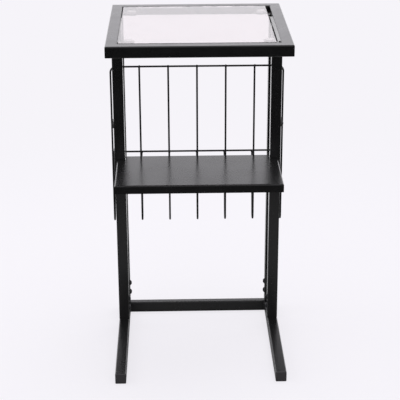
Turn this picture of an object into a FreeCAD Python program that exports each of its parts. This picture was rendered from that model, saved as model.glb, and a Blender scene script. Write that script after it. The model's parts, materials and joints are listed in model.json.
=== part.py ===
import FreeCAD, Part
import math
import os

# Side table of black steel tube with a glass top, a folded sheet shelf and a wire rack.
# Millimetres, +Z up. The origin is on the floor, under the middle of the table.
# The front, where the feet reach forward without posts, is at -Y.

# Driving dimensions of the whole table
width = 315.0
depth = 315.0
height = 635.0
tube_size = 20.0
tube_wall = 1.2
tube_corner = 2.0
post_gap = 53.0

# Rear crossbar, a flatter tube on the floor between the feet
crossbar_depth = 14.0
crossbar_height = 22.0
crossbar_rear_setback = 9.0

# Plastic caps in the ends of the feet
cap_thickness = 2.0
cap_plug_length = 12.0
cap_plug_clearance = 0.1
cap_edge = 1.2

# Spigots on the feet, which the posts slide over, with their bolts and nuts
spigot_wall = 1.5
spigot_height = 68.0
spigot_clearance = 0.2
bolt_low_height = 41.0
bolt_spacing = 20.0
bolt_diameter = 6.0
bolt_head_diameter = 11.5
bolt_head_height = 3.5
bolt_length = 12.0
bolt_socket = 4.0
nut_across_flats = 10.0
nut_thickness = 5.0

# Clearance round every screw shank, in its hole and in its nut
hole_clearance = 0.4
thread_clearance = 0.1

# Glass pane, tabs and clear cups that carry it
glass_thickness = 5.0
glass_gap_left = 1.5
glass_gap_right = 8.0
glass_gap_front = 1.5
glass_corner = 3.0
glass_edge = 0.5
seat_gap = 0.3
cup_height = 3.0
cup_diameter = 18.0
cup_top_diameter = 16.0
cup_dish = 0.8
cup_stem_diameter = 7.0
cup_barb_diameter = 8.4
cup_barb_height = 2.5
cup_hole_clearance = 0.5
cup_from_side = 17.5
cup_from_end = 50.0
tab_thickness = 3.0
tab_width = 20.0
tab_reach = 28.0
tab_corner = 5.0

# Shelf, folded from one sheet: a tongue runs back between the front posts
shelf_side_inset = 5.0
shelf_front_setback = 81.0
shelf_height = 358.0
shelf_sheet = 1.5
shelf_lip = 15.5
shelf_ear_height = 34.0
shelf_bend = 2.5
shelf_tongue_gap = 0.8

# Small screws that hold the shelf and the rack, with their nuts
screw_diameter = 5.0
screw_head_diameter = 9.5
screw_head_height = 2.8
screw_length = 10.0
screw_socket = 3.0
small_nut_across_flats = 8.0
small_nut_thickness = 4.0
shelf_screw_spacing = 14.0
shelf_screw_edge = 7.0

# Wire rack between the front and rear posts
wire_diameter = 3.5
wire_count = 7
rack_top = 534.8
rack_bottom = 220.8
rack_rail_height = 349.0
rack_corner_radius = 11.0
rack_foot_radius = 9.0
rack_post_gap = 2.3
lug_thickness = 2.4
lug_height = 13.0
lug_centre_height = 424.0

# Length by which a cutting tool runs past what it cuts
overrun = 1.0

# Derived places
half_width = width / 2
y_front = -depth / 2
y_back = depth / 2
inner_x = half_width - tube_size
post_x = half_width - tube_size / 2
rear_post_y = y_back - tube_size / 2
rear_post_face = y_back - tube_size
front_post_y = rear_post_face - post_gap - tube_size / 2
front_post_face = front_post_y - tube_size / 2
frame_bottom = height - tube_size
bore = tube_size - 2 * tube_wall
shelf_width = width - 2 * shelf_side_inset
shelf_depth = front_post_face - y_front - shelf_front_setback
wire_radius = wire_diameter / 2
rack_half_width = half_width + lug_thickness + wire_radius
wire_pitch = 2 * rack_half_width / (wire_count - 1)
rack_front_y = front_post_face + tube_size + rack_post_gap + wire_radius
rack_rear_y = rear_post_face - wire_radius
glass_bottom = height - glass_thickness
cup_base = glass_bottom - seat_gap - cup_height
bolt_heights = [bolt_low_height, bolt_low_height + bolt_spacing]

os.makedirs("parts", exist_ok=True)


def vec(x, y, z):
    return FreeCAD.Vector(x, y, z)


def save(name, *solids):
    """Writes one sub-part: a single solid, or a group of like ones."""
    shape = solids[0] if len(solids) == 1 else Part.makeCompound(list(solids))
    shape.exportStep("parts/%s.step" % name)


def block(x0, x1, y0, y1, z0, z1):
    """A box between two corners, given in any order."""
    corner = vec(min(x0, x1), min(y0, y1), min(z0, z1))
    return Part.makeBox(abs(x1 - x0), abs(y1 - y0), abs(z1 - z0), corner)


def rounded_face(a, b, radius):
    """A rectangle about the origin in the XY plane, a along X, with round corners."""
    box = Part.makeBox(a, b, overrun, vec(-a / 2, -b / 2, 0))
    upright = [e for e in box.Edges if abs(e.BoundBox.ZLength - overrun) < overrun / 2]
    box = box.makeFillet(radius, upright)
    return [f for f in box.Faces if f.BoundBox.ZMax < overrun / 2][0]


def tube(a, b, length, wall, corner):
    """A rectangular tube along +Z from the origin."""
    outer = rounded_face(a, b, corner).extrude(vec(0, 0, length))
    inner_corner = max(corner - wall, corner / 4)
    inner = rounded_face(a - 2 * wall, b - 2 * wall, inner_corner)
    inner = inner.extrude(vec(0, 0, length + 2 * overrun))
    inner.translate(vec(0, 0, -overrun))
    return outer.cut(inner)


def lay_along_y(shape):
    """Turns a shape built along +Z so that it runs along +Y, with its own Y as -Z."""
    shape.rotate(vec(0, 0, 0), vec(1, 0, 0), -90)
    return shape


def lay_along_x(shape):
    """Turns a shape built along +Z so that it runs along +X."""
    shape.rotate(vec(0, 0, 0), vec(0, 1, 0), 90)
    return shape


def rod(centre, direction, radius, length):
    return Part.makeCylinder(radius, length, centre, direction)


def turned_to(shape, seat, direction):
    """Moves a shape built along +Z so that it starts at seat and runs along direction."""
    shape.Placement = FreeCAD.Placement(seat, FreeCAD.Rotation(vec(0, 0, 1), direction))
    return shape


def hexagon(centre, direction, across, length):
    """A hexagonal prism, which starts at centre and runs along direction."""
    corner_radius = across / math.sqrt(3)
    points = []
    for turn in range(7):
        angle = math.radians(60 * turn)
        points.append(vec(corner_radius * math.cos(angle), corner_radius * math.sin(angle), 0))
    return turned_to(Part.Face(Part.makePolygon(points)).extrude(vec(0, 0, length)), centre, direction)


def screw(seat, direction, diameter, length, head_diameter, head_height, socket):
    """A button-head screw: its head stands on seat, and its shank runs along direction."""
    rim = head_diameter / 2
    shank = diameter / 2
    dome_radius = (rim ** 2 + head_height ** 2) / (2 * head_height)
    half_angle = math.asin(rim / dome_radius) / 2
    bulge = dome_radius * math.cos(half_angle) - (dome_radius - head_height)
    top, middle, edge = (vec(0, 0, -head_height), vec(dome_radius * math.sin(half_angle), 0, -bulge),
                         vec(rim, 0, 0))
    outline = [Part.Arc(top, middle, edge).toShape()]
    corners = [edge, vec(shank, 0, 0), vec(shank, 0, length), vec(0, 0, length), top]
    for first, last in zip(corners, corners[1:]):
        outline.append(Part.LineSegment(first, last).toShape())
    body = Part.Face(Part.Wire(outline)).revolve(vec(0, 0, 0), vec(0, 0, 1), 360)
    drive = hexagon(vec(0, 0, -head_height - overrun), vec(0, 0, 1), socket, head_height / 2 + overrun)
    return turned_to(body.cut(drive), seat, direction)


def nut(seat, direction, diameter, across, thickness):
    """A hexagonal nut, which starts at seat and runs along direction."""
    body = hexagon(seat, direction, across, thickness)
    start = seat - direction * overrun
    return body.cut(rod(start, direction, (diameter + thread_clearance) / 2, thickness + 2 * overrun))


def shank_hole(seat, direction, diameter, length):
    """The tool that cuts a screw's clearance hole, from just before seat."""
    start = seat - direction * overrun
    return rod(start, direction, (diameter + hole_clearance) / 2, length + 2 * overrun)


# Feet, their caps and the crossbar

def foot(side):
    shape = lay_along_y(tube(tube_size, tube_size, depth - 2 * cap_thickness, tube_wall, tube_corner))
    shape.translate(vec(side * post_x, y_front + cap_thickness, tube_size / 2))
    return shape


def foot_cap(side, end):
    """A cap that fills one end of a foot; end is -1 at the front and 1 at the back."""
    plate = rounded_face(tube_size, tube_size, tube_corner).extrude(vec(0, 0, cap_thickness))
    rim = [e for e in plate.Edges if e.BoundBox.ZMax < cap_thickness / 2]
    plate = plate.makeFillet(cap_edge, rim)
    plug_size = bore - 2 * cap_plug_clearance
    plug = rounded_face(plug_size, plug_size, tube_corner / 2)
    plug = plug.extrude(vec(0, 0, cap_plug_length + cap_thickness / 2))
    plug.translate(vec(0, 0, cap_thickness / 2))
    shape = lay_along_y(plate.fuse(plug).removeSplitter())
    if end > 0:
        shape.rotate(vec(0, 0, 0), vec(0, 0, 1), 180)
    shape.translate(vec(side * post_x, end * depth / 2, tube_size / 2))
    return shape


def rear_crossbar():
    shape = lay_along_x(tube(crossbar_height, crossbar_depth, 2 * inner_x, tube_wall, tube_corner))
    y_middle = y_back - crossbar_rear_setback - crossbar_depth / 2
    shape.translate(vec(-inner_x, y_middle, crossbar_height / 2))
    return shape


# Posts, with their spigots, bolts and nuts

def inner_wall(side, y, z):
    """A point on the face of a post that looks at the middle of the table."""
    return vec(side * inner_x, y, z)


def post_holes(side, y):
    outward = vec(side, 0, 0)
    length = tube_wall + spigot_clearance + spigot_wall
    return [shank_hole(inner_wall(side, y, z), outward, bolt_diameter, length) for z in bolt_heights]


def post(side, y):
    shape = tube(tube_size, tube_size, frame_bottom - tube_size, tube_wall, tube_corner)
    shape.translate(vec(side * post_x, y, tube_size))
    return shape.cut(post_holes(side, y))


def front_post(side):
    tools = [shank_hole(seat, vec(0, 1, 0), screw_diameter, shelf_sheet + tube_wall)
             for seat in shelf_screw_seats(side)]
    return post(side, front_post_y).cut(tools + [rack_screw_hole(side, -1)])


def rear_post(side):
    return post(side, rear_post_y).cut(rack_screw_hole(side, 1))


def spigot(side, y):
    size = bore - 2 * spigot_clearance
    shape = tube(size, size, spigot_height, spigot_wall, tube_corner / 2)
    shape.translate(vec(side * post_x, y, tube_size))
    return shape.cut(post_holes(side, y))


def base_bolts():
    shapes = []
    for side in (-1, 1):
        for y in (front_post_y, rear_post_y):
            for z in bolt_heights:
                shapes.append(screw(inner_wall(side, y, z), vec(side, 0, 0), bolt_diameter, bolt_length,
                                    bolt_head_diameter, bolt_head_height, bolt_socket))
    return shapes


def base_nuts():
    into_post = tube_wall + spigot_clearance + spigot_wall
    shapes = []
    for side in (-1, 1):
        for y in (front_post_y, rear_post_y):
            for z in bolt_heights:
                seat = vec(side * (inner_x + into_post), y, z)
                shapes.append(nut(seat, vec(side, 0, 0), bolt_diameter, nut_across_flats, nut_thickness))
    return shapes


# Top frame, mitred at its corners

def mitre(length):
    """A prism round a bar along +X that cuts both its ends at 45 degrees, outside at -Y."""
    points = [vec(-length / 2, 0, 0), vec(length / 2, 0, 0),
              vec(length / 2 - tube_size, tube_size, 0), vec(tube_size - length / 2, tube_size, 0),
              vec(-length / 2, 0, 0)]
    return Part.Face(Part.makePolygon(points)).extrude(vec(0, 0, height))


def top_bar(length, turn, reach):
    """A bar of the top frame; reach is how far its outer face lies from the middle."""
    shape = lay_along_x(tube(tube_size, tube_size, length, tube_wall, tube_corner))
    shape.translate(vec(-length / 2, tube_size / 2, height - tube_size / 2))
    shape = shape.common(mitre(length))
    shape.translate(vec(0, -reach, 0))
    shape.rotate(vec(0, 0, 0), vec(0, 0, 1), turn)
    return shape


# Glass pane, its tabs and its cups

def cup_place(side, end):
    return side * (inner_x - cup_from_side), end * (depth / 2 - cup_from_end)


def glass_tab(side, end):
    x, y = cup_place(side, end)
    tip = inner_x - tab_reach
    plate = block(side * inner_x, side * tip, y - tab_width / 2, y + tab_width / 2,
                  cup_base - tab_thickness, cup_base)
    tip_edges = [e for e in plate.Edges if abs(e.CenterOfMass.x - side * tip) < overrun / 2
                 and abs(e.BoundBox.ZLength - tab_thickness) < overrun / 2]
    plate = plate.makeFillet(tab_corner, tip_edges)
    hole_radius = (cup_stem_diameter + cup_hole_clearance) / 2
    hole = rod(vec(x, y, cup_base - tab_thickness - overrun), vec(0, 0, 1), hole_radius,
               tab_thickness + 2 * overrun)
    return plate.cut(hole)


def glass_cup(side, end):
    """A clear cup, pushed into its tab from above, with a shallow dish under the glass."""
    x, y = cup_place(side, end)
    stem = cup_stem_diameter / 2
    barb = cup_barb_diameter / 2
    low = -tab_thickness - cup_barb_height
    points = [vec(0, 0, low), vec(stem / 2, 0, low), vec(barb, 0, -tab_thickness),
              vec(stem, 0, -tab_thickness), vec(stem, 0, 0), vec(cup_diameter / 2, 0, 0),
              vec(cup_top_diameter / 2, 0, cup_height), vec(cup_top_diameter / 2 - cup_dish, 0, cup_height),
              vec(0, 0, cup_height - cup_dish), vec(0, 0, low)]
    shape = Part.Face(Part.makePolygon(points)).revolve(vec(0, 0, 0), vec(0, 0, 1), 360)
    shape.translate(vec(x, y, cup_base))
    return shape


def glass_top():
    size_x = 2 * inner_x - glass_gap_left - glass_gap_right
    size_y = depth - 2 * tube_size - 2 * glass_gap_front
    shape = rounded_face(size_x, size_y, glass_corner).extrude(vec(0, 0, glass_thickness))
    flat_edges = [e for e in shape.Edges if e.BoundBox.ZLength < glass_edge]
    shape = shape.makeChamfer(glass_edge, flat_edges)
    shape.translate(vec((glass_gap_left - glass_gap_right) / 2, 0, glass_bottom))
    return shape


# Shelf

def shelf_screw_seats(side):
    """Where the shelf's screw heads stand, on the front of its ears."""
    x = side * (inner_x + shelf_width / 2 - shelf_sheet) / 2
    low = shelf_height - shelf_ear_height + shelf_screw_edge
    return [vec(x, front_post_face - shelf_sheet, low + row * shelf_screw_spacing) for row in range(2)]


def folded_sheet(x, front, back, open_front, open_sides):
    """A box open below with walls of sheet and bent upper edges, less the sides left open."""
    low = shelf_height - shelf_lip
    outer = block(-x, x, front, back, low, shelf_height)
    front_reach = -overrun if open_front else shelf_sheet
    side_reach = x + overrun if open_sides else x - shelf_sheet
    inner = block(-side_reach, side_reach, front + front_reach, back - shelf_sheet,
                  low - overrun, shelf_height - shelf_sheet)
    shapes = []
    for body, radius in ((outer, shelf_bend), (inner, shelf_bend - shelf_sheet)):
        upper = [e for e in body.Edges if e.BoundBox.ZMin > body.BoundBox.ZMax - overrun]
        if open_front or open_sides:
            upper = [e for e in upper if e.BoundBox.YMin > body.BoundBox.YMax - overrun]
        shapes.append(body.makeFillet(radius, upper))
    return shapes[0].cut(shapes[1])


def shelf_panel():
    """A tray open below, with two ears screwed to the posts and a tongue between the posts."""
    x = shelf_width / 2
    tongue_x = inner_x - shelf_tongue_gap
    tray = folded_sheet(x, front_post_face - shelf_depth, front_post_face, False, False)
    mouth = block(-inner_x, inner_x, front_post_face - shelf_bend, front_post_face + overrun,
                  shelf_height - shelf_lip - overrun, shelf_height - shelf_sheet)
    tongue = folded_sheet(tongue_x, front_post_face - 2 * shelf_bend, front_post_face + tube_size,
                          True, True)
    ears = [block(side * inner_x, side * x, front_post_face - shelf_sheet, front_post_face,
                  shelf_height - shelf_ear_height, shelf_height - shelf_bend) for side in (-1, 1)]
    holes = [shank_hole(seat, vec(0, 1, 0), screw_diameter, shelf_sheet)
             for side in (-1, 1) for seat in shelf_screw_seats(side)]
    return tray.cut(mouth).fuse([tongue] + ears).removeSplitter().cut(holes)


def small_screw(seat, direction):
    return screw(seat, direction, screw_diameter, screw_length, screw_head_diameter,
                 screw_head_height, screw_socket)


def shelf_screws():
    return [small_screw(seat, vec(0, 1, 0)) for side in (-1, 1) for seat in shelf_screw_seats(side)]


def shelf_nuts():
    inward = vec(0, 1, 0)
    through = inward * (shelf_sheet + tube_wall)
    return [nut(seat + through, inward, screw_diameter, small_nut_across_flats, small_nut_thickness)
            for side in (-1, 1) for seat in shelf_screw_seats(side)]


# Wire rack

def sweep(edges):
    """A wire of the rack along a path of lines and arcs, with its ends fitted round the rail."""
    path = Part.Wire(edges)
    start = path.Edges[0].valueAt(path.Edges[0].FirstParameter)
    along = path.Edges[0].tangentAt(path.Edges[0].FirstParameter)
    section = Part.Wire(Part.makeCircle(wire_radius, start, along))
    return path.makePipeShell([section], True, False).cut(rack_rail())


def rear_leg_angle():
    """The lean of the rear legs from upright, so that they run tangent to the foot bend."""
    across = rack_rear_y - (rack_front_y + rack_foot_radius)
    rise = rack_rail_height - foot_centre_height()
    reach = math.hypot(across, rise)
    return math.atan2(across, rise) - math.asin(rack_foot_radius / reach)


def foot_centre_height():
    return rack_bottom + wire_radius + rack_foot_radius


def v_edges(x, front_top):
    """The path of one V: from the rail down, round the foot bend and up to front_top."""
    lean = rear_leg_angle()
    centre = vec(x, rack_front_y + rack_foot_radius, foot_centre_height())
    bend_end = centre + vec(0, math.cos(lean), -math.sin(lean)) * rack_foot_radius
    half_turn = (math.pi - lean) / 2
    bend_middle = centre + vec(0, -math.cos(half_turn), -math.sin(half_turn)) * rack_foot_radius
    bend_start = centre - vec(0, rack_foot_radius, 0)
    rear_top = vec(x, rack_rear_y, rack_rail_height)
    return [Part.LineSegment(rear_top, bend_end).toShape(),
            Part.Arc(bend_end, bend_middle, bend_start).toShape(),
            Part.LineSegment(bend_start, vec(x, rack_front_y, front_top)).toShape()]


def reversed_edge(edge):
    """The same line or arc, run the other way."""
    first = edge.valueAt(edge.FirstParameter)
    last = edge.valueAt(edge.LastParameter)
    if isinstance(edge.Curve, Part.Line):
        return Part.LineSegment(last, first).toShape()
    middle = edge.valueAt((edge.FirstParameter + edge.LastParameter) / 2)
    return Part.Arc(last, middle, first).toShape()


def rack_hoop():
    """The outer wire: both end Vs and the top run between them, in one piece."""
    corner = rack_corner_radius
    axis_top = rack_top - wire_radius
    straight_top = axis_top - corner
    diagonal = corner * math.sqrt(0.5)
    left = v_edges(-rack_half_width, straight_top)
    right = [reversed_edge(e) for e in reversed(v_edges(rack_half_width, straight_top))]
    corners = []
    for side in (-1, 1):
        centre = vec(side * (rack_half_width - corner), rack_front_y, straight_top)
        corners.append((centre + vec(side * corner, 0, 0), centre + vec(side * diagonal, 0, diagonal),
                        centre + vec(0, 0, corner)))
    left_arc = Part.Arc(*corners[0]).toShape()
    top = Part.LineSegment(corners[0][2], corners[1][2]).toShape()
    right_arc = Part.Arc(*reversed(corners[1])).toShape()
    return sweep(left + [left_arc, top, right_arc] + right)


def rack_wire(index):
    x = -rack_half_width + index * wire_pitch
    axis_top = rack_top - wire_radius
    return sweep(v_edges(x, axis_top)).cut(rod(vec(x - wire_diameter, rack_front_y, axis_top),
                                               vec(1, 0, 0), wire_radius, 2 * wire_diameter))


def rack_rail():
    end = rack_half_width + wire_radius
    return rod(vec(-end, rack_rear_y, rack_rail_height), vec(1, 0, 0), wire_radius, 2 * end)


# Rack lugs; end is -1 at the front posts and 1 at the rear posts

def rack_screw_seat(side, end):
    y, z = (front_post_y, lug_centre_height) if end < 0 else (rear_post_y, rack_rail_height)
    return vec(side * (half_width + lug_thickness), y, z)


def rack_screw_hole(side, end):
    inward = vec(-side, 0, 0)
    return shank_hole(rack_screw_seat(side, end), inward, screw_diameter, lug_thickness + tube_wall)


def rack_lug(side, end):
    """A small plate on a post's outer face that meets the hoop, rounded about its screw."""
    seat = rack_screw_seat(side, end)
    radius = lug_height / 2
    wire_y = rack_front_y + wire_radius if end < 0 else rear_post_face
    bar = block(side * half_width, seat.x, seat.y, wire_y, seat.z - radius, seat.z + radius)
    eye = rod(seat, vec(-side, 0, 0), radius, lug_thickness)
    return bar.fuse(eye).removeSplitter().cut(rack_screw_hole(side, end))


def rack_screws():
    return [small_screw(rack_screw_seat(side, end), vec(-side, 0, 0))
            for side in (-1, 1) for end in (-1, 1)]


def rack_nuts():
    shapes = []
    for side in (-1, 1):
        inward = vec(-side, 0, 0)
        for end in (-1, 1):
            seat = rack_screw_seat(side, end) + inward * (lug_thickness + tube_wall)
            shapes.append(nut(seat, inward, screw_diameter, small_nut_across_flats, small_nut_thickness))
    return shapes


# Every sub-part, by name

sides = {"left": -1, "right": 1}
ends = {"front": -1, "rear": 1}

for side_name, side in sides.items():
    save("foot_" + side_name, foot(side))
    save("front_post_" + side_name, front_post(side))
    save("rear_post_" + side_name, rear_post(side))
    save("front_spigot_" + side_name, spigot(side, front_post_y))
    save("rear_spigot_" + side_name, spigot(side, rear_post_y))
    for end_name, end in ends.items():
        save("foot_cap_%s_%s" % (end_name, side_name), foot_cap(side, end))
        save("rack_lug_%s_%s" % (end_name, side_name), rack_lug(side, end))
        save("glass_tab_%s_%s" % (end_name, side_name), glass_tab(side, end))
        save("glass_cup_%s_%s" % (end_name, side_name), glass_cup(side, end))

save("rear_crossbar", rear_crossbar())
save("top_bar_front", top_bar(width, 0, depth / 2))
save("top_bar_right", top_bar(depth, 90, width / 2))
save("top_bar_rear", top_bar(width, 180, depth / 2))
save("top_bar_left", top_bar(depth, 270, width / 2))
save("glass_top", glass_top())
save("shelf_panel", shelf_panel())
save("shelf_screws", *shelf_screws())
save("shelf_nuts", *shelf_nuts())
save("base_bolts", *base_bolts())
save("base_nuts", *base_nuts())
save("rack_hoop", rack_hoop())
save("rack_rail", rack_rail())
save("rack_screws", *rack_screws())
save("rack_nuts", *rack_nuts())
for index in range(1, wire_count - 1):
    save("rack_wire_%d" % index, rack_wire(index))
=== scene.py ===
import json
import math
import random

import bmesh
import bpy
from mathutils import Matrix, Vector


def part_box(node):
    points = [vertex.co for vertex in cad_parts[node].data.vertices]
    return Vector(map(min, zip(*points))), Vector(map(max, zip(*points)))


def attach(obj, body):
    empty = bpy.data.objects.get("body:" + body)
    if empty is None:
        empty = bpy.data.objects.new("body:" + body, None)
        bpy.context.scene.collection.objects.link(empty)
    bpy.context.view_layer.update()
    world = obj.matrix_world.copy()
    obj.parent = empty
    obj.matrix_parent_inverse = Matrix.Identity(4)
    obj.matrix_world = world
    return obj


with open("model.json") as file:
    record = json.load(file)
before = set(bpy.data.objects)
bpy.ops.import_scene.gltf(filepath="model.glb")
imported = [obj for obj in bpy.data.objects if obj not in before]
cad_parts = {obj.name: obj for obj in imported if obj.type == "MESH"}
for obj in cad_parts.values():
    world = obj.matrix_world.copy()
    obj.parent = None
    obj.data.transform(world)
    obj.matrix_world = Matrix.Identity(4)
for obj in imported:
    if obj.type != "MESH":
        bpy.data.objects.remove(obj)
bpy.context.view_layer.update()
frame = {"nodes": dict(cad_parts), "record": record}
nodes = frame["nodes"]

# Camera, in metres and degrees, fitted to the corners of the table for a square picture
camera_place = (-0.0440, -2.1635, 1.1560)
camera_yaw = -1.24
camera_pitch = 21.60
camera_roll = -0.23
camera_lens = 112.1
sensor_width = 36.0

# Background of the photograph, and how bright the studio is for reflections and for light
pale = (0.922, 0.905, 0.947)
pale_speck = (0.905, 0.890, 0.930)
seen_strength = 1.0
horizon_strength = 1.08
backdrop_strength = 1.1
upper_strength = 0.0
front_strength = 0.8
overhead_strength = 1.0

# Where these parts of the studio meet: heights and depths of a direction of length 1
backdrop_heights = (0.24, 0.36)
upper_heights = (0.45, 0.48)
overhead_heights = (0.55, 1.0)
front_depths = (-0.25, 0.6)

# Floor in reflections, painted shade and light: grey near the table, dark in front, light behind; distances
# in metres
floor_half_size = 8.0
floor_near_painted_shade = 0.36
floor_far_painted_shade = 0.06
floor_back_painted_light = 0.8
floor_painted_shade_distances = (0.45, 1.1)
floor_painted_light_depths = (0.3, 0.9)

# Floor to the eye: its own glow takes over from lit paint away from the table
floor_glow_distances = (0.5, 1.6)
floor_glow_share = 0.8
floor_glow_strength = 0.99

# Lamps, in metres and watts
side_lamp = {"place": (-2.4, 0.3, 1.8), "target": (0, 0, 0.4), "size": 1.4, "power": 14.0}
top_lamp = {"place": (0.3, 0.6, 2.9), "target": (0, 0, 0), "size": 2.0, "power": 38.0}

# Refraction of the paint and of the clear layer on it
paint_ior = 1.38

# Weld beads under the paint, in metres
seam_radius = 0.0013
bead_sides = 10
ripple_pitch = 0.0011
ripple_share = 0.16
rings_per_ripple = 4
least_rings = 4
unevenness = 0.05
tip_share = 0.35
tip_slope = 6

# Weld spots on the wires: lumps in waves per metre along each axis, shifted from spot to spot
spot_radius = 0.0024
spot_subdivisions = 3
lump_share = 0.22
lump_waves = Vector((2100, 1900, 2300))
lump_shift = 900

weld_seed = 7
inner_wires = 5


def node_tree(material):
    material.use_nodes = True
    tree = material.node_tree
    tree.nodes.clear()
    return tree


def add(tree, kind, inputs=None, **settings):
    """Adds a shader node; inputs maps a socket to a value or to another node's socket."""
    node = tree.nodes.new(kind)
    for key, value in settings.items():
        setattr(node, key, value)
    for key, value in (inputs or {}).items():
        if isinstance(value, bpy.types.NodeSocket):
            tree.links.new(value, node.inputs[key])
        else:
            node.inputs[key].default_value = value
    return node


def ramp(tree, factor, stops):
    """A colour ramp from (position, colour) stops."""
    node = add(tree, "ShaderNodeValToRGB", {"Fac": factor})
    for element, (position, colour) in zip(node.color_ramp.elements, stops):
        element.position = position
        element.color = (*colour, 1.0)
    return node.outputs["Color"]


def noise(tree, scale, detail=2.0, roughness=0.5, stretch=(1, 1, 1)):
    """Noise fixed to the object, with its scale in cells per metre."""
    place = add(tree, "ShaderNodeTexCoord").outputs["Object"]
    spread = add(tree, "ShaderNodeMapping", {"Vector": place, "Scale": stretch})
    return add(tree, "ShaderNodeTexNoise", {"Vector": spread.outputs["Vector"], "Scale": scale,
                                            "Detail": detail, "Roughness": roughness}).outputs["Fac"]


def between(tree, value, low, high, start=0.0, end=1.0, step="LINEAR"):
    """Goes from low to high as value goes from start to end."""
    return add(tree, "ShaderNodeMapRange", {"Value": value, "From Min": start, "From Max": end,
                                            "To Min": low, "To Max": high},
               interpolation_type=step).outputs["Result"]


def fade(tree, value, limits, low=0.0, high=1.0):
    """A smooth step from low to high as value goes from the first limit to the second."""
    return between(tree, value, low, high, *limits, step="SMOOTHSTEP")


def blend(tree, share, first, second):
    """A number that goes from first to second as share goes from 0 to 1."""
    return add(tree, "ShaderNodeMix", {0: share, 2: first, 3: second}, data_type="FLOAT").outputs[0]


def relief(tree, height, strength, distance):
    return add(tree, "ShaderNodeBump", {"Height": height, "Strength": strength,
                                        "Distance": distance}).outputs["Normal"]


def seen_rays(tree):
    """1 for rays from the camera, straight or through glass."""
    rays = add(tree, "ShaderNodeLightPath")
    return add(tree, "ShaderNodeMath", {0: rays.outputs["Is Camera Ray"],
                                        1: rays.outputs["Is Transmission Ray"]},
               operation="MAXIMUM").outputs["Value"]


def finish_surface(material, shader):
    add(material.node_tree, "ShaderNodeOutputMaterial", {"Surface": shader})
    return material


def powder_coat(name, dark, light, rough, coat, coat_roughness=0.14, grain=900.0, bump=0.02):
    """Satin black powder coat: fine orange peel, cloudy sheen and faint dust in the colour."""
    material = bpy.data.materials.new(name)
    tree = node_tree(material)
    cloud = noise(tree, scale=14.0, detail=4.0, roughness=0.6)
    peel = noise(tree, scale=grain, detail=3.0, roughness=0.55)
    shader = add(tree, "ShaderNodeBsdfPrincipled",
                 {"Base Color": ramp(tree, cloud, [(0.35, dark), (0.7, light)]),
                  "Roughness": between(tree, cloud, *rough, start=0.3, end=0.7), "IOR": paint_ior,
                  "Coat Weight": coat, "Coat Roughness": coat_roughness, "Coat IOR": paint_ior,
                  "Normal": relief(tree, peel, strength=bump, distance=0.0004)})
    return finish_surface(material, shader.outputs["BSDF"])


def moulded_plastic():
    """Black plastic with a fine matt grain."""
    material = bpy.data.materials.new("black_moulded_plastic")
    tree = node_tree(material)
    grain = noise(tree, scale=1600.0, detail=2.0)
    cloud = noise(tree, scale=40.0, detail=3.0)
    tint = ramp(tree, cloud, [(0.3, (0.026, 0.025, 0.027)), (0.75, (0.036, 0.034, 0.036))])
    shader = add(tree, "ShaderNodeBsdfPrincipled",
                 {"Base Color": tint, "Roughness": between(tree, grain, 0.42, 0.6), "IOR": 1.5,
                  "Normal": relief(tree, grain, strength=0.12, distance=0.0003)})
    return finish_surface(material, shader.outputs["BSDF"])


def plated_steel(name, dark, light, rough):
    """Turned steel with fine scratches round it."""
    material = bpy.data.materials.new(name)
    tree = node_tree(material)
    scratch = noise(tree, scale=700.0, detail=4.0, roughness=0.6, stretch=(1, 0.2, 0.2))
    shader = add(tree, "ShaderNodeBsdfPrincipled",
                 {"Base Color": ramp(tree, scratch, [(0.35, dark), (0.7, light)]), "Metallic": 0.85,
                  "Roughness": between(tree, scratch, *rough),
                  "Normal": relief(tree, scratch, strength=0.08, distance=0.0002)})
    return finish_surface(material, shader.outputs["BSDF"])


def clear_glass():
    """Clear float glass with a faint ripple; shadow rays pass, so that light reaches what is below."""
    material = bpy.data.materials.new("clear_float_glass")
    tree = node_tree(material)
    ripple = noise(tree, scale=9.0, detail=1.0)
    smear = noise(tree, scale=30.0, detail=3.0)
    tint = ramp(tree, smear, [(0.3, (0.870, 0.803, 0.808)), (0.8, (0.890, 0.823, 0.828))])
    rough = between(tree, smear, 0.0, 0.02, start=0.4, end=0.8)
    shader = add(tree, "ShaderNodeBsdfPrincipled",
                 {"Base Color": tint, "Roughness": rough, "IOR": 1.52,
                  "Transmission Weight": 1.0, "Coat Weight": 1.0, "Coat Roughness": 0.0, "Coat IOR": 1.6,
                  "Sheen Weight": 0.4, "Sheen Roughness": 0.25, "Sheen Tint": (1.0, 0.96, 0.975, 1.0),
                  "Normal": relief(tree, ripple, strength=0.006, distance=0.001)})
    rays = add(tree, "ShaderNodeLightPath")
    gap = add(tree, "ShaderNodeBsdfTransparent", {"Color": (0.90, 0.93, 0.92, 1.0)})
    both = add(tree, "ShaderNodeMixShader", {0: rays.outputs["Is Shadow Ray"], 1: shader.outputs["BSDF"],
                                             2: gap.outputs["BSDF"]})
    return finish_surface(material, both.outputs["Shader"])


def cloudy_rubber():
    """Soft plastic that lets some light through but looks whitish."""
    material = bpy.data.materials.new("clear_soft_plastic")
    tree = node_tree(material)
    haze = noise(tree, scale=260.0, detail=3.0)
    tint = ramp(tree, haze, [(0.3, (0.90, 0.90, 0.91)), (0.8, (0.95, 0.95, 0.95))])
    shader = add(tree, "ShaderNodeBsdfPrincipled",
                 {"Base Color": tint, "Roughness": between(tree, haze, 0.12, 0.26), "IOR": 1.43,
                  "Transmission Weight": 0.2})
    return finish_surface(material, shader.outputs["BSDF"])


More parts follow.
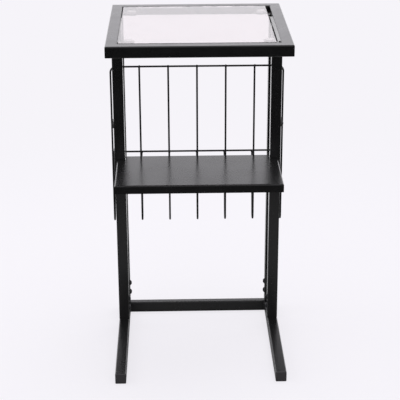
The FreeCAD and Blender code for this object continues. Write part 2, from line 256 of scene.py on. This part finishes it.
def pale_floor():
    """Pale to the eye, with a shadow; to other rays painted shade and light: grey near, dark in front, light
    behind.
    """
    material = bpy.data.materials.new("pale_floor")
    tree = node_tree(material)
    place = add(tree, "ShaderNodeTexCoord").outputs["Object"]
    flat = add(tree, "ShaderNodeVectorMath", {0: place, 1: (1, 1, 0)}, operation="MULTIPLY")
    distance = add(tree, "ShaderNodeVectorMath", {0: flat.outputs["Vector"]},
                   operation="LENGTH").outputs["Value"]
    depth = add(tree, "ShaderNodeSeparateXYZ", {"Vector": place}).outputs["Y"]
    # Painted shade and light for reflections: the floor's colour goes from grey near the table to dark far
    # off, and turns light behind it.
    ahead = fade(tree, distance, floor_painted_shade_distances, floor_near_painted_shade, floor_far_painted_shade)
    painted_reflection_tint = blend(tree, fade(tree, depth, floor_painted_light_depths), ahead, floor_back_painted_light)
    seen = ramp(tree, noise(tree, scale=60.0, detail=4.0), [(0.3, pale_speck), (0.7, pale)])
    eye = seen_rays(tree)
    tint = add(tree, "ShaderNodeMix", {0: eye, 6: painted_reflection_tint, 7: seen}, data_type="RGBA")
    matt = add(tree, "ShaderNodeBsdfDiffuse", {"Color": tint.outputs[2]})
    strength = fade(tree, distance, floor_glow_distances, floor_glow_strength, seen_strength)
    glow = add(tree, "ShaderNodeEmission", {"Color": (*pale, 1.0), "Strength": strength})
    reach = fade(tree, distance, floor_glow_distances, floor_glow_share, 1.0)
    share = add(tree, "ShaderNodeMath", {0: reach, 1: eye}, operation="MULTIPLY")
    both = add(tree, "ShaderNodeMixShader", {0: share.outputs["Value"], 1: matt.outputs["BSDF"],
                                             2: glow.outputs["Emission"]})
    return finish_surface(material, both.outputs["Shader"])


def studio_world():
    """Pale to the eye; to other rays a bright wall behind under a dark band, and a dimmer front."""
    world = bpy.data.worlds.new("studio")
    bpy.context.scene.world = world
    tree = node_tree(world)
    direction = add(tree, "ShaderNodeTexCoord").outputs["Generated"]
    part = add(tree, "ShaderNodeSeparateXYZ", {"Vector": direction})
    height, depth = part.outputs["Z"], part.outputs["Y"]
    behind = fade(tree, height, backdrop_heights, horizon_strength, backdrop_strength)
    behind = blend(tree, fade(tree, height, upper_heights), behind, upper_strength)
    around = blend(tree, fade(tree, depth, front_depths), front_strength, behind)
    dome = blend(tree, fade(tree, height, overhead_heights), around, overhead_strength)
    strength = blend(tree, seen_rays(tree), dome, seen_strength)
    glow = add(tree, "ShaderNodeBackground", {"Color": (*pale, 1.0), "Strength": strength})
    add(tree, "ShaderNodeOutputWorld", {"Surface": glow.outputs["Background"]})


def area_light(name, place, target, size, power):
    """A soft lamp that throws shadows and lights the colours, but leaves no bright patch in the glass."""
    light = bpy.data.lights.new(name, "AREA")
    light.size = size
    light.energy = power
    body = bpy.data.objects.new(name, light)
    body.visible_glossy = False
    body.visible_transmission = False
    body.location = place
    body.rotation_euler = (Vector(target) - Vector(place)).to_track_quat("-Z", "Y").to_euler()
    bpy.context.scene.collection.objects.link(body)


def weld_seam(mesh, start, end, chance):
    """A rippled bead from start to end, closed at both ends."""
    start, end = Vector(start), Vector(end)
    along = (end - start).normalized()
    across = along.orthogonal().normalized()
    third = along.cross(across)
    count = max(least_rings, int((end - start).length / ripple_pitch * rings_per_ripple))
    rings = []
    for step in range(count + 1):
        share = step / count
        wave = math.sin(2 * math.pi * step / rings_per_ripple)
        ripple = 1 + ripple_share * wave + chance.uniform(-unevenness, unevenness)
        taper = min(1.0, tip_share + tip_slope * min(share, 1 - share))
        radius = seam_radius * ripple * taper
        middle = start.lerp(end, share)
        rings.append([mesh.verts.new(middle + radius * (math.cos(a) * across + math.sin(a) * third))
                      for a in (2 * math.pi * k / bead_sides for k in range(bead_sides))])
    for first, second in zip(rings, rings[1:]):
        for k in range(bead_sides):
            after = (k + 1) % bead_sides
            mesh.faces.new((first[k], first[after], second[after], second[k]))
    mesh.faces.new(tuple(reversed(rings[0])))
    mesh.faces.new(tuple(rings[-1]))


def weld_spot(mesh, place, chance):
    """A small lumpy blob where two wires cross."""
    turn = Matrix.Rotation(chance.uniform(0, math.pi), 4, "Z")
    made = bmesh.ops.create_icosphere(mesh, subdivisions=spot_subdivisions, radius=spot_radius,
                                      matrix=Matrix.Translation(place) @ turn)
    for vertex in made["verts"]:
        offset = vertex.co - Vector(place)
        lump = (math.sin(offset.x * lump_waves.x + place[0] * lump_shift)
                * math.sin(offset.y * lump_waves.y) * math.sin(offset.z * lump_waves.z))
        vertex.co = Vector(place) + offset * (1 + lump_share * lump)


def weld_mesh(seam_list, spot_list):
    mesh = bmesh.new()
    chance = random.Random(weld_seed)
    for start, end in seam_list:
        weld_seam(mesh, start, end, chance)
    for place in spot_list:
        weld_spot(mesh, place, chance)
    bmesh.ops.recalc_face_normals(mesh, faces=mesh.faces)
    data = bpy.data.meshes.new("welds")
    mesh.to_mesh(data)
    mesh.free()
    for polygon in data.polygons:
        polygon.use_smooth = True
    return data


def post_seams(row, side):
    """Two beads where a post meets the top frame."""
    low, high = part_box("%s_post_%s" % (row, side))
    front = ((low.x, low.y, high.z), (high.x, low.y, high.z))
    if row == "front":
        return [front, ((low.x, high.y, high.z), (high.x, high.y, high.z))]
    inner = high.x if side == "left" else low.x
    return [front, ((inner, low.y, high.z), (inner, high.y, high.z))]


def tab_seams(row, side):
    """Beads above and below a glass tab, along the bar that carries it."""
    low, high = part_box("glass_tab_%s_%s" % (row, side))
    wall = low.x if side == "left" else high.x
    return [((wall, low.y, height), (wall, high.y, height)) for height in (low.z, high.z)]


def lug_seam(row, side):
    """The bead between a rack lug and the outer wire."""
    low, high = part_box("rack_lug_%s_%s" % (row, side))
    tip = high.y if row == "front" else low.y
    outer = low.x if side == "left" else high.x
    return ((outer, tip, low.z), (outer, tip, high.z))


def crossbar_seams(side):
    """Beads on three sides of the crossbar's end, up to the top of the foot."""
    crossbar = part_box("rear_crossbar")
    wall = crossbar[0].x if side == "left" else crossbar[1].x
    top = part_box("foot_" + side)[1].z
    low = crossbar[0].z + seam_radius
    upright = [((wall, y, low), (wall, y, top)) for y in (crossbar[0].y, crossbar[1].y)]
    return upright + [((wall, crossbar[0].y, top), (wall, crossbar[1].y, top))]


def wire_spots():
    """Where the wires cross the rack's top run and its rail; the outer ones lie on the hoop's inner side."""
    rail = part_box("rack_rail")
    rail_middle = (rail[0] + rail[1]) / 2
    spots = []
    for index in range(1, inner_wires + 1):
        low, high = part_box("rack_wire_%d" % index)
        middle = (low.x + high.x) / 2
        wire_radius = (high.x - low.x) / 2
        spots.append((middle, low.y + wire_radius, high.z))
        spots.append((middle, rail_middle.y, rail_middle.z - wire_radius))
    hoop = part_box("rack_hoop")
    spot_reach = spot_radius * (1 + lump_share)
    for x in (hoop[0].x + spot_reach, hoop[1].x - spot_reach):
        spots.append((x, rail_middle.y, rail_middle.z - wire_radius))
    return spots


def add_piece(name, data, material):
    data.materials.append(material)
    piece = bpy.data.objects.new(name, data)
    bpy.context.scene.collection.objects.link(piece)
    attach(piece, "table")


def make_floor():
    floor_mesh = bpy.data.meshes.new("floor")
    corners = [(x * floor_half_size, y * floor_half_size, 0) for x, y in ((-1, -1), (1, -1), (1, 1), (-1, 1))]
    floor_mesh.from_pydata(corners, [], [(0, 1, 2, 3)])
    floor_mesh.materials.append(pale_floor())
    floor = bpy.data.objects.new("floor", floor_mesh)
    bpy.context.scene.collection.objects.link(floor)


def make_camera():
    yaw, pitch, roll = (math.radians(a) for a in (camera_yaw, camera_pitch, camera_roll))
    level_right = Vector((math.cos(yaw), math.sin(yaw), 0))
    ahead = Vector((-math.sin(yaw) * math.cos(pitch), math.cos(yaw) * math.cos(pitch), -math.sin(pitch)))
    level_up = level_right.cross(ahead)
    right = math.cos(roll) * level_right + math.sin(roll) * level_up
    up = math.cos(roll) * level_up - math.sin(roll) * level_right
    data = bpy.data.cameras.new("camera")
    data.lens = camera_lens
    data.sensor_width = sensor_width
    camera = bpy.data.objects.new("camera", data)
    turn = Matrix((right, up, -ahead)).transposed().to_4x4()
    camera.matrix_world = Matrix.Translation(camera_place) @ turn
    bpy.context.scene.collection.objects.link(camera)
    bpy.context.scene.camera = camera


bpy.context.scene.view_settings.view_transform = "Standard"
make_camera()

frame_coat = powder_coat("satin_black_coat", dark=(0.0026, 0.0026, 0.0028), light=(0.0042, 0.0042, 0.0045),
                         rough=(0.24, 0.34), coat=0.9)
shelf_coat = powder_coat("satin_black_sheet_coat", dark=(0.0012, 0.0012, 0.0013),
                         light=(0.0022, 0.0022, 0.0024), rough=(0.22, 0.30), coat=0.75,
                         coat_roughness=0.24, grain=700.0)
wire_coat = powder_coat("satin_black_wire_coat", dark=(0.008, 0.008, 0.0085), light=(0.012, 0.012, 0.0125),
                        rough=(0.34, 0.46), coat=0.0, bump=0.01)
slot_material = {
    "frame_paint": frame_coat,
    "shelf_paint": shelf_coat,
    "wire_paint": wire_coat,
    "black_plastic": moulded_plastic(),
    "blackened_steel": plated_steel("black_oxide_steel", dark=(0.018, 0.018, 0.020),
                                    light=(0.045, 0.045, 0.048), rough=(0.3, 0.45)),
    "zinc_steel": plated_steel("zinc_plated_steel", dark=(0.42, 0.43, 0.44), light=(0.62, 0.62, 0.63),
                               rough=(0.22, 0.4)),
    "clear_glass": clear_glass(),
    "clear_cup": cloudy_rubber(),
}
for part in frame["record"]["subparts"]:
    mesh = nodes[part["node"]].data
    mesh.materials.clear()
    mesh.materials.append(slot_material[part["material_slot"]])

seams = []
for side in ("left", "right"):
    for row in ("front", "rear"):
        seams += post_seams(row, side)
        seams += tab_seams(row, side)
        seams.append(lug_seam(row, side))
    seams += crossbar_seams(side)
add_piece("frame_weld_seams", weld_mesh(seams, []), frame_coat)
add_piece("rack_weld_spots", weld_mesh([], wire_spots()), wire_coat)

make_floor()
studio_world()
area_light("side", **side_lamp)
area_light("top", **top_lamp)
